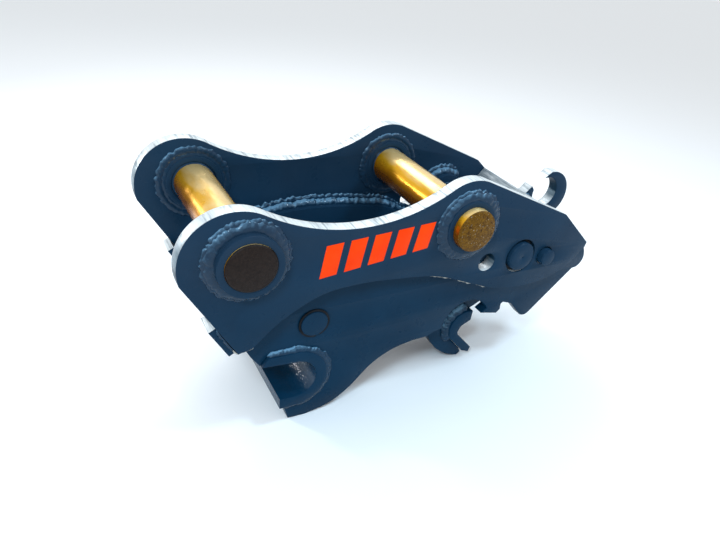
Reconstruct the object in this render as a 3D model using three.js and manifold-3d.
// Hydraulic quick coupler for a 20 tonne excavator, in millimetres, +Z up.
//
// The design frame has its origin on the axis of the stick pin, +X to the link pin and the rear hook,
// and the mirror plane of the coupler at Y = 0. The group at the end moves that frame so that the
// origin of the part is the middle of its footprint. "Left" is -Y and "right" is +Y.
import * as THREE from "three";
import { mergeVertices } from "three/addons/utils/BufferGeometryUtils.js";
import Module from "manifold-3d";

const wasm = await Module();
wasm.setup();

// ---- driving dimensions -------------------------------------------------------------------------
const GAP = 0.3; // left between two pieces that touch
const ARC_STEP = 10; // degrees between two points of a round stretch
const SIDES = 28; // sides of a turned piece
const SMALL_SIDES = 20; // sides of a small turned piece
const SMALL_R = 30; // a hole up to this radius is drawn with the coarse step
const COARSE_STEP = 15;

const STICK_PIN = [0, 0];
const LINK_PIN = [456, 0];
const HOOK_PIVOT = [622, -100];
const STOP_PIN = [698, -112];
const SAFETY_HOLE = [526, -99];
const CYLINDER_BASE = [138, -181];
const ROD_PIN = [530, -205];
const FRONT_POCKET = [99, -309.5];
const REAR_RING = [559, -324];

const EAR_OUT = 186; // |Y| of the outer face of an ear plate
const EAR_IN = 156;
const SIDE_OUT = EAR_IN - GAP;
const SIDE_IN = 128;
const HOOK_PLATE_OUT = 111;
const HOOK_PLATE_IN = 86;
const HOOK_HALF = 126; // half width of the rear saddle and of the hub
const HOOK_BUSH_IN = 60;

const PIN_R = 45;
const PIN_HOLE_R = PIN_R + GAP;
const BOSS_R = 58;
const INNER_BOSS_R = 56;
const FRONT_BOSS_OUT = 210;
const REAR_BOSS_OUT = 198;
const INNER_BOSS_IN = 150; // the stick and the link are 300 wide
const STICK_PIN_HALF = 214;
const LINK_PIN_HALF = 217;
const PIN_CHAMFER = 3;
const PIN_WAIST_R = 41; // between the bosses the shafts are ground slimmer
const PIN_WAIST_HALF = 149;
const PIN_WAIST_TAPER = 4;

const PIVOT_R = 34;
const PIVOT_HALF = 194;
const PIVOT_CHAMFER = 4;
const PIVOT_DIMPLE = 3;
const PIVOT_BUSH_OUT = 176;
const PIVOT_SEAT_R = 41; // bore of ears and side plates, lined with a bush
const BUSH_WALL_R = 40;
const HUB_R = 48;
const HUB_PLATE_R = 56.5;
const STOP_R = 19.5;
const STOP_HALF = 201;
const STOP_CHAMFER = 2;
const STOP_EAR_HOLE_R = 22.5;
const SAFETY_R = 21.5;

const BASE_PIN_R = 28;
const BASE_PIN_HALF = 161;
const CLIP_THICK = 2.5;
const CLIP_DEPTH = 1.5; // how far a snap ring sits in its groove
const CLIP_PROUD = 3.5;
const CLIP_MOUTH = 285; // degrees, down and to the rear
const CLIP_MOUTH_HALF = 8;
const CLIP_LUG = 9;
const GROOVE_DEPTH = 5.5;
const ROD_PIN_R = 20;
const ROD_PIN_HALF = 119;
const EYE_HALF = 40; // half width of both cylinder eyes
const EYE_PLAY = 2; // the rod eye is the pivot that stays open in the linkage
const BASE_EYE_R = 38;
const ROD_EYE_R = 35;
const SPACER_WALL = 9;
const SPACER_PLAY = 0.4;

const BARREL_R = 45;
const BORE_R = 35.3;
const BARREL_FROM = 20; // along the cylinder, from the base pin
const BORE_FROM = 62;
const BARREL_END = 300;
const SPIGOT_FROM = 288;
const SPIGOT_R = 35;
const GLAND_R = 43;
const GLAND_END = 318;
const ROD_R = 20;
const PISTON_R = 34.8;
const PISTON_FROM = 238;
const PISTON_TO = 268;
const PISTON_SEAT_R = 15;
const PISTON_NUT = 6; // the rod's end shows this much past the piston
const VALVE_BLOCK = { size: [64, 56, 50], place: [150, 0, 55] };
const FITTINGS = { first: 135, pitch: 30, from: 80.3, shoulder: 90, neck: 92, to: 100, outer: 12, inner: 8 };

const HUMP_FRONT = { center: [-16, -6], radius: 98 };
const HUMP_REAR = { center: LINK_PIN, radius: 96 };
const SADDLE_BACK_R = 372; // hollow of the ears between the two humps
const POCKET_R = 45.4;
const POCKET_WALL = 24;
const SADDLE_OVERHANG = 8.6; // the front saddle's ends stand proud of the side plates
const PIVOT_HUMP_R = 66; // upper edge of the side plates round the pivot
const REAR_ARCH = { center: [527, -285], radius: 67 }; // room for the rear hook under the side plates
const RING_R = 47.5;
const LIP_ROOT = [541, -343];
const LIP_TIP = [589, -394];
const HOOK_BACK = { center: [599, -275], radius: 152 };
const ROD_LUG_R = 36;
const STOP_SHOULDER = [698, -136.5]; // the hook plates' edge that meets the stop pin

const FRONT_BLOCK = { corner: [-57.5, -129.3], direction: [0.475, -0.88], length: 70, thick: 14, out: 178 };
const REAR_PLATE = { corner: [758, -35], direction: [0.7547, -0.6561], length: 100, thick: 30 };
const LIFT_HALF = 15;
const LIFT_EYE = { center: [828, -42], radius: 40 };
const LIFT_RIM = { center: [845, -50], radius: 61 };

const FOOTPRINT_MIDDLE = 396.12; // X of the middle of the part, in the design frame
const REST_DEPTH = 423; // the part stands on this plane below the stick pin

// ---- materials ----------------------------------------------------------------------------------
const finish = (color, roughness, metalness) => new THREE.MeshStandardMaterial({ color, roughness, metalness });
const PAINT = finish(0x14304c, 0.3, 0.2);
const GOLD = finish(0xc9962e, 0.35, 0.9);
const STEEL = finish(0x9a9ea3, 0.35, 1.0);
const CHROME = finish(0xd8dadd, 0.1, 1.0);
const BRONZE = finish(0xa9763c, 0.4, 1.0);
const BLACK = finish(0x15171a, 0.5, 0.6);

// ---- outlines -----------------------------------------------------------------------------------
const rad = THREE.MathUtils.degToRad;

/** Points of an arc about [x, z], from one angle to the other in degrees. */
function arc([cx, cz], radius, from, to, step = ARC_STEP) {
  const steps = Math.max(2, Math.ceil(Math.abs(to - from) / step));
  return Array.from({ length: steps + 1 }, (_, i) => {
    const angle = rad(from + ((to - from) * i) / steps);
    return [cx + radius * Math.cos(angle), cz + radius * Math.sin(angle)];
  });
}

/** Smooth curve through a few points, with a number of steps for each span. */
function curve(points, steps = 3) {
  const spline = new THREE.SplineCurve(points.map(([x, z]) => new THREE.Vector2(x, z)));
  return spline.getPoints(steps * (points.length - 1)).map((p) => [p.x, p.y]);
}

const circle = (center, radius) =>
  arc(center, radius, 0, 360, radius > SMALL_R ? ARC_STEP : COARSE_STEP).slice(0, -1);
const angleTo = ([ax, az], [bx, bz]) => THREE.MathUtils.radToDeg(Math.atan2(bz - az, bx - ax));

/** Centre of the arc of a given radius that touches two circles from above. */
function bridgeCenter(a, b, radius) {
  const [ax, az] = a.center;
  const [bx, bz] = b.center;
  const span = Math.hypot(bx - ax, bz - az);
  const ra = a.radius + radius;
  const rb = b.radius + radius;
  const along = (span * span + ra * ra - rb * rb) / (2 * span);
  const up = Math.sqrt(ra * ra - along * along);
  const [ux, uz] = [(bx - ax) / span, (bz - az) / span];
  return [ax + along * ux - up * uz, az + along * uz + up * ux];
}

// ---- solids -------------------------------------------------------------------------------------
/** Plate with an outline in the XZ plane, between two values of Y. */
function plate(outline, yFrom, yTo, holes = []) {
  const shape = new THREE.Shape(outline.map(([x, z]) => new THREE.Vector2(x, z)));
  for (const hole of holes) {
    shape.holes.push(new THREE.Path(hole.map(([x, z]) => new THREE.Vector2(x, z))));
  }
  const geometry = new THREE.ExtrudeGeometry(shape, { depth: yTo - yFrom, bevelEnabled: false });
  return geometry.rotateX(Math.PI / 2).translate(0, yTo, 0);
}

/** Piece turned about an axis parallel to Y through [x, z]; the profile is a list of [radius, y]. */
function turned([x, z], profile, sides = SIDES) {
  const points = profile.map(([r, y]) => new THREE.Vector2(r, y));
  return new THREE.LatheGeometry(points, sides).translate(x, 0, z);
}

const tube = (center, inner, outer, from, to, sides) =>
  turned(center, [[inner, from], [outer, from], [outer, to], [inner, to], [inner, from]], sides);

/** Round pin with chamfered ends, from -half to +half. */
function pin(center, radius, half, chamfer, dimple = 0) {
  const end = [[0, half - dimple], [dimple, half], [radius - chamfer, half], [radius, half - chamfer]];
  const profile = (dimple ? end : end.slice(1)).map(([r, y]) => [r, -y]);
  const top = profile.map(([r, y]) => [r, -y]).reverse();
  return turned(center, [...profile, ...top]);
}

/** Machine pin: chamfered ends that fill the bosses, and a slimmer waist between them. */
function machinePin(center, half) {
  const end = [[0, half], [PIN_R - PIN_CHAMFER, half], [PIN_R, half - PIN_CHAMFER],
    [PIN_R, PIN_WAIST_HALF + PIN_WAIST_TAPER], [PIN_WAIST_R, PIN_WAIST_HALF]];
  const lower = end.map(([r, y]) => [r, -y]);
  return turned(center, [...lower, ...end.reverse()]);
}

function toSolid(geometry) {
  const bare = geometry.clone();
  bare.deleteAttribute("normal");
  bare.deleteAttribute("uv");
  const merged = mergeVertices(bare, 1e-4);
  return new wasm.Manifold(new wasm.Mesh({
    numProp: 3,
    vertProperties: Float32Array.from(merged.attributes.position.array),
    triVerts: Uint32Array.from(merged.index.array),
  }));
}

function toGeometry(solid) {
  const mesh = solid.getMesh();
  const geometry = new THREE.BufferGeometry();
  geometry.setAttribute("position", new THREE.BufferAttribute(mesh.vertProperties, 3));
  geometry.setIndex(new THREE.BufferAttribute(mesh.triVerts, 1));
  return geometry;
}

const join = (first, ...others) => others.reduce((sum, part) => sum.add(toSolid(part)), toSolid(first));
const cut = (solid, ...tools) => tools.reduce((rest, tool) => rest.subtract(toSolid(tool)), solid);

// ---- assembly -----------------------------------------------------------------------------------
const coupler = new THREE.Group();

function add(name, geometry, material, parent = coupler) {
  const mesh = new THREE.Mesh(geometry, material);
  mesh.name = name;
  parent.add(mesh);
  return mesh;
}

/** Makes a left and a right piece from a builder that takes the two |Y| values in rising order. */
function addPair(name, inner, outer, material, build) {
  add(`${name}_left`, build(-outer, -inner), material);
  add(`${name}_right`, build(inner, outer), material);
}

// ---- ear plates ---------------------------------------------------------------------------------
function earOutline() {
  const back = bridgeCenter(HUMP_FRONT, HUMP_REAR, SADDLE_BACK_R);
  const frontTouch = angleTo(HUMP_FRONT.center, back);
  const rearTouch = angleTo(HUMP_REAR.center, back);
  return [
    ...arc(HUMP_FRONT.center, HUMP_FRONT.radius, 193, frontTouch),
    ...arc(back, SADDLE_BACK_R, 180 + frontTouch, 180 + rearTouch).slice(1),
    ...arc(HUMP_REAR.center, HUMP_REAR.radius, rearTouch, 67).slice(1),
    [734, -13],
    [833, -99],
    ...curve([[830, -112], [778, -158], [711, -182], [640, -184], [560, -172], [497, -148], [400, -110],
      [306, -96], [220, -90], [138, -98], [59, -138], [4, -186]]),
    [-22, -191],
  ];
}

function addEars() {
  const holes = [
    circle(STICK_PIN, PIN_HOLE_R),
    circle(LINK_PIN, PIN_HOLE_R),
    circle(SAFETY_HOLE, SAFETY_R),
    circle(HOOK_PIVOT, PIVOT_SEAT_R),
    circle(STOP_PIN, STOP_EAR_HOLE_R),
  ];
  addPair("ear_plate", EAR_IN, EAR_OUT, PAINT, (from, to) => plate(earOutline(), from, to, holes));
}

// ---- pins and bosses of the machine side --------------------------------------------------------
function addPinEnds() {
  const ring = (center, radius) => (from, to) => tube(center, PIN_HOLE_R, radius, from, to);
  addPair("stick_boss_outer", EAR_OUT + GAP, FRONT_BOSS_OUT, PAINT, ring(STICK_PIN, BOSS_R));
  addPair("link_boss_outer", EAR_OUT + GAP, REAR_BOSS_OUT, PAINT, ring(LINK_PIN, BOSS_R));
  addPair("stick_boss_inner", INNER_BOSS_IN, EAR_IN - GAP, PAINT, ring(STICK_PIN, INNER_BOSS_R));
  addPair("link_boss_inner", INNER_BOSS_IN, EAR_IN - GAP, PAINT, ring(LINK_PIN, INNER_BOSS_R));
  add("stick_pin", machinePin(STICK_PIN, STICK_PIN_HALF), GOLD);
  add("link_pin", machinePin(LINK_PIN, LINK_PIN_HALF), GOLD);
}

// ---- side plates with the front jaw -------------------------------------------------------------
/** Outside of the front saddle, grown by a clearance, from the upper arm round to the lower arm. */
function pocketBack(grow) {
  const radius = POCKET_R + POCKET_WALL + grow;
  const [cx, cz] = FRONT_POCKET;
  return [[42 - grow, cz + radius + 2], ...arc([cx, cz], radius, 90, -90), [65 - grow, cz - radius]];
}

function sideOutline() {
  const jaw = pocketBack(GAP);
  return [
    ...curve([[-6, -172], [50, -124], [100, -98], [160, -84], [230, -78], [306, -81], [384, -90], [449, -101],
      [500, -126], [540, -142]]),
    ...arc(HOOK_PIVOT, PIVOT_HUMP_R, 165, 45),
    [737.8, -58.2],
    [813.8, -124.4],
    [834.4, -100.8],
    ...curve([[852, -114], [868, -136], [877, -162], [872, -180], [861, -190]]),
    [846, -192],
    [728, -303],
    [705, -303],
    [662, -257],
    [634, -247],
    [629, -252],
    [630, -267],
    [620, -276],
    [571, -264],
    ...arc(REAR_ARCH.center, REAR_ARCH.radius, 28, 176),
    [440, -284],
    ...curve([[419, -294], [376, -295], [325, -306], [277, -333], [231, -379], [184, -410], [125, -423]]),
    [86, -420],
    [76, jaw.at(-1)[1]],
    ...jaw.slice(0, -1).reverse(),
    [27.5, -258],
    [10, -231],
    [-2, -206],
  ];
}

function addSidePlates() {
  const holes = [
    circle(CYLINDER_BASE, BASE_PIN_R + GAP),
    circle(HOOK_PIVOT, PIVOT_SEAT_R),
    circle(STOP_PIN, STOP_R + GAP),
  ];
  addPair("side_plate", SIDE_IN, SIDE_OUT, PAINT, (from, to) => plate(sideOutline(), from, to, holes));
}

function addFrontSaddle() {
  const [cx, cz] = FRONT_POCKET;
  const half = SIDE_OUT + SADDLE_OVERHANG;
  const outline = [
    ...pocketBack(0),
    [65, cz - POCKET_R + 2],
    ...arc([cx, cz], POCKET_R, -90, 90),
    [30, cz + POCKET_R + 7],
  ];
  add("front_jaw_saddle", plate(outline, -half, half), PAINT);
}

// ---- cross members ------------------------------------------------------------------------------
/** Four corners of a bar of a given length and thickness, to the right of its direction. */
function bar([x, z], [dx, dz], length, thickness) {
  const [ex, ez] = [x + dx * length, z + dz * length];
  const [nx, nz] = [dz * thickness, -dx * thickness];
  return [[x, z], [ex, ez], [ex + nx, ez + nz], [x + nx, z + nz]];
}

function addCrossMembers() {
  const outline = ({ corner, direction, length, thick }) => bar(corner, direction, length, thick);
  addPair("front_block", SIDE_IN, FRONT_BLOCK.out, PAINT, (from, to) => plate(outline(FRONT_BLOCK), from, to));
  add("rear_cross_plate", plate(outline(REAR_PLATE), -SIDE_OUT, SIDE_OUT), PAINT);
}

function addLiftingHook() {
  const outline = [
    [763, -38.6],
    [781, -21],
    ...arc(LIFT_EYE.center, LIFT_EYE.radius, 165, 438),
    [819, -3],
    ...arc(LIFT_RIM.center, LIFT_RIM.radius, 97, -100),
    [833.6, -100],
  ];
  add("lifting_hook", plate(outline, -LIFT_HALF, LIFT_HALF), PAINT);
}

// ---- rear hook ----------------------------------------------------------------------------------
function addHook() {
  const ringTop = 73;
  const ringFoot = 225;
  const plateOutline = [
    ...arc(HOOK_PIVOT, HUB_PLATE_R, 140, -25.6),
    STOP_SHOULDER,
    [692, -150],
    [650, -200],
    [606, -262],
    ...arc(REAR_RING, RING_R + GAP, ringTop, ringFoot),
    [562.5, -399],
    [570, -413],
    [563, -421],
    ...arc(HOOK_BACK.center, HOOK_BACK.radius, 256, 166),
    ...arc(ROD_PIN, ROD_LUG_R, 195, 110),
  ];
  const holes = [circle(HOOK_PIVOT, HUB_R + GAP), circle(ROD_PIN, ROD_PIN_R + GAP)];
  addPair("hook_plate", HOOK_PLATE_IN, HOOK_PLATE_OUT, PAINT, (from, to) =>
    plate(plateOutline, from, to, holes));
  const saddleOutline = [
    ...arc(REAR_RING, RING_R, ringTop, ringFoot),
    [563, -398.5],
    [584, -408],
    LIP_TIP,
    LIP_ROOT,
    ...curve([[538, -336], [540, -326], [547, -316]]),
    [571, -305],
  ];
  add("hook_saddle", plate(saddleOutline, -HOOK_HALF, HOOK_HALF), PAINT);
  add("hook_hub", tube(HOOK_PIVOT, BUSH_WALL_R + GAP, HUB_R, -HOOK_HALF, HOOK_HALF), PAINT);
  const web = [[488, -296], [502, -292], [510, -352], [498, -358]];
  add("hook_web", plate(web, -HOOK_PLATE_IN + GAP, HOOK_PLATE_IN - GAP), PAINT);
  addPair("hook_bush", HOOK_BUSH_IN, HOOK_HALF - 1, BRONZE, (from, to) =>
    tube(HOOK_PIVOT, PIVOT_R + 0.5, BUSH_WALL_R, from, to));
}

function addHookPivot() {
  add("hook_pivot_pin", pin(HOOK_PIVOT, PIVOT_R, PIVOT_HALF, PIVOT_CHAMFER, PIVOT_DIMPLE), PAINT);
  addPair("pivot_bush", SIDE_IN, PIVOT_BUSH_OUT, BRONZE, (from, to) =>
    tube(HOOK_PIVOT, PIVOT_R + GAP, PIVOT_SEAT_R - GAP, from, to));
  add("hook_stop_pin", pin(STOP_PIN, STOP_R, STOP_HALF, STOP_CHAMFER), PAINT);
}

// ---- pins of the cylinder -----------------------------------------------------------------------
/** Open snap ring with two lugs that reach inward beside its mouth. */
function snapRing(center, shaft, from, to) {
  const inner = shaft - CLIP_DEPTH;
  const lugTip = inner - CLIP_PROUD;
  const before = CLIP_MOUTH - CLIP_MOUTH_HALF;
  const after = CLIP_MOUTH + CLIP_MOUTH_HALF - 360;
  const outline = [
    ...arc(center, shaft + CLIP_PROUD, after, before, COARSE_STEP),
    ...arc(center, lugTip, before, before - CLIP_LUG, COARSE_STEP),
    ...arc(center, inner, before - CLIP_LUG, after + CLIP_LUG, COARSE_STEP),
    ...arc(center, lugTip, after + CLIP_LUG, after, COARSE_STEP),
  ];
  return plate(outline, from, to);
}

/** Pin with a groove for a snap ring near each end. */
function groovedPin(center, radius, half, groove) {
  const neck = radius - GROOVE_DEPTH;
  const edge = 1;
  const from = groove - GAP;
  const to = groove + CLIP_THICK + GAP;
  const side = [[0, half], [radius - edge, half], [radius, half - edge], [radius, to], [neck, to],
    [neck, from], [radius, from]];
  const lower = side.map(([r, y]) => [r, -y]);
  return turned(center, [...lower, ...side.reverse()], SMALL_SIDES);
}

function addCylinderPins() {
  const baseGroove = SIDE_OUT + GAP;
  add("cylinder_base_pin", groovedPin(CYLINDER_BASE, BASE_PIN_R, BASE_PIN_HALF, baseGroove), PAINT);
  addPair("base_pin_circlip", baseGroove, baseGroove + CLIP_THICK, BLACK, (from, to) =>
    snapRing(CYLINDER_BASE, BASE_PIN_R, from, to));
  const spacer = (center, radius) => (from, to) =>
    tube(center, radius + SPACER_PLAY, radius + SPACER_WALL, from, to);
  addPair("base_pin_spacer", BARREL_R + 1, SIDE_IN - 1, STEEL, spacer(CYLINDER_BASE, BASE_PIN_R));
  const rodGroove = HOOK_PLATE_OUT + GAP;
  add("rod_pin", groovedPin(ROD_PIN, ROD_PIN_R, ROD_PIN_HALF, rodGroove), STEEL);
  addPair("rod_pin_circlip", rodGroove, rodGroove + CLIP_THICK, BLACK, (from, to) =>
    snapRing(ROD_PIN, ROD_PIN_R, from, to));
  addPair("rod_pin_spacer", EYE_HALF + 1, HOOK_PLATE_IN - GAP, STEEL, spacer(ROD_PIN, ROD_PIN_R));
}

// ---- hydraulic cylinder, built along +X from its base pin ---------------------------------------
const alongX = (profile) =>
  new THREE.LatheGeometry(profile.map(([r, x]) => new THREE.Vector2(r, x)), SIDES).rotateZ(-Math.PI / 2);

/** Solid round bar along Y, for an eye or for the hole through it. */
const crossBar = (x, radius, half) => turned([x, 0], [[0, -half], [radius, -half], [radius, half], [0, half]]);

function addBarrel(cylinder) {
  const shell = alongX([[0, BARREL_FROM], [BARREL_R, BARREL_FROM], [BARREL_R, BARREL_END], [BORE_R, BARREL_END],
    [BORE_R, BORE_FROM], [0, BORE_FROM]]);
  const eye = join(shell, crossBar(0, BASE_EYE_R, EYE_HALF));
  const bored = cut(eye, crossBar(0, BASE_PIN_R + 0.5, 2 * EYE_HALF));
  add("cylinder_barrel", toGeometry(bored), PAINT, cylinder);
  const inner = ROD_R + SPACER_PLAY;
  const gland = alongX([[inner, SPIGOT_FROM], [SPIGOT_R, SPIGOT_FROM], [SPIGOT_R, BARREL_END + GAP],
    [GLAND_R, BARREL_END + GAP], [GLAND_R, GLAND_END], [inner, GLAND_END], [inner, SPIGOT_FROM]]);
  add("cylinder_gland", gland, BLACK, cylinder);
}

function addRod(cylinder, length) {
  const seat = PISTON_SEAT_R + GAP;
  const piston = alongX([[seat, PISTON_FROM], [PISTON_R, PISTON_FROM], [PISTON_R, PISTON_TO],
    [seat, PISTON_TO], [seat, PISTON_FROM]]);
  add("cylinder_piston", piston, STEEL, cylinder);
  const start = PISTON_FROM - PISTON_NUT;
  const rod = alongX([[0, start], [PISTON_SEAT_R, start], [PISTON_SEAT_R, PISTON_TO + GAP],
    [ROD_R, PISTON_TO + GAP], [ROD_R, length - ROD_R], [0, length - ROD_R]]);
  const eye = join(rod, crossBar(length, ROD_EYE_R, EYE_HALF));
  const bored = cut(eye, crossBar(length, ROD_PIN_R + EYE_PLAY, 2 * EYE_HALF));
  add("cylinder_rod", toGeometry(bored), CHROME, cylinder);
}

function addValve(cylinder) {
  const block = new THREE.BoxGeometry(...VALVE_BLOCK.size).translate(...VALVE_BLOCK.place);
  const seat = alongX([[0, BORE_FROM], [BARREL_R + GAP, BORE_FROM], [BARREL_R + GAP, BARREL_END], [0, BARREL_END]]);
  add("check_valve_block", toGeometry(cut(toSolid(block), seat)), STEEL, cylinder);
  const { first, pitch, from, shoulder, neck, to, outer, inner } = FITTINGS;
  const profile = [[0, from], [outer, from], [outer, shoulder], [inner, neck], [inner, to], [0, to]];
  ["hose_fitting_extend", "hose_fitting_retract"].forEach((name, i) => {
    const fitting = turned([0, 0], profile, SMALL_SIDES);
    fitting.rotateX(Math.PI / 2).translate(first + pitch * i, 0, 0);
    add(name, fitting, STEEL, cylinder);
  });
}

function addCylinder() {
  const [dx, dz] = [ROD_PIN[0] - CYLINDER_BASE[0], ROD_PIN[1] - CYLINDER_BASE[1]];
  const cylinder = new THREE.Group();
  cylinder.position.set(CYLINDER_BASE[0], 0, CYLINDER_BASE[1]);
  cylinder.rotation.y = -Math.atan2(dz, dx);
  coupler.add(cylinder);
  addBarrel(cylinder);
  addRod(cylinder, Math.hypot(dx, dz));
  addValve(cylinder);
}

addEars();
addPinEnds();
addSidePlates();
addFrontSaddle();
addCrossMembers();
addLiftingHook();
addHook();
addHookPivot();
addCylinderPins();
addCylinder();

coupler.position.set(-FOOTPRINT_MIDDLE, 0, REST_DEPTH);

export default coupler;
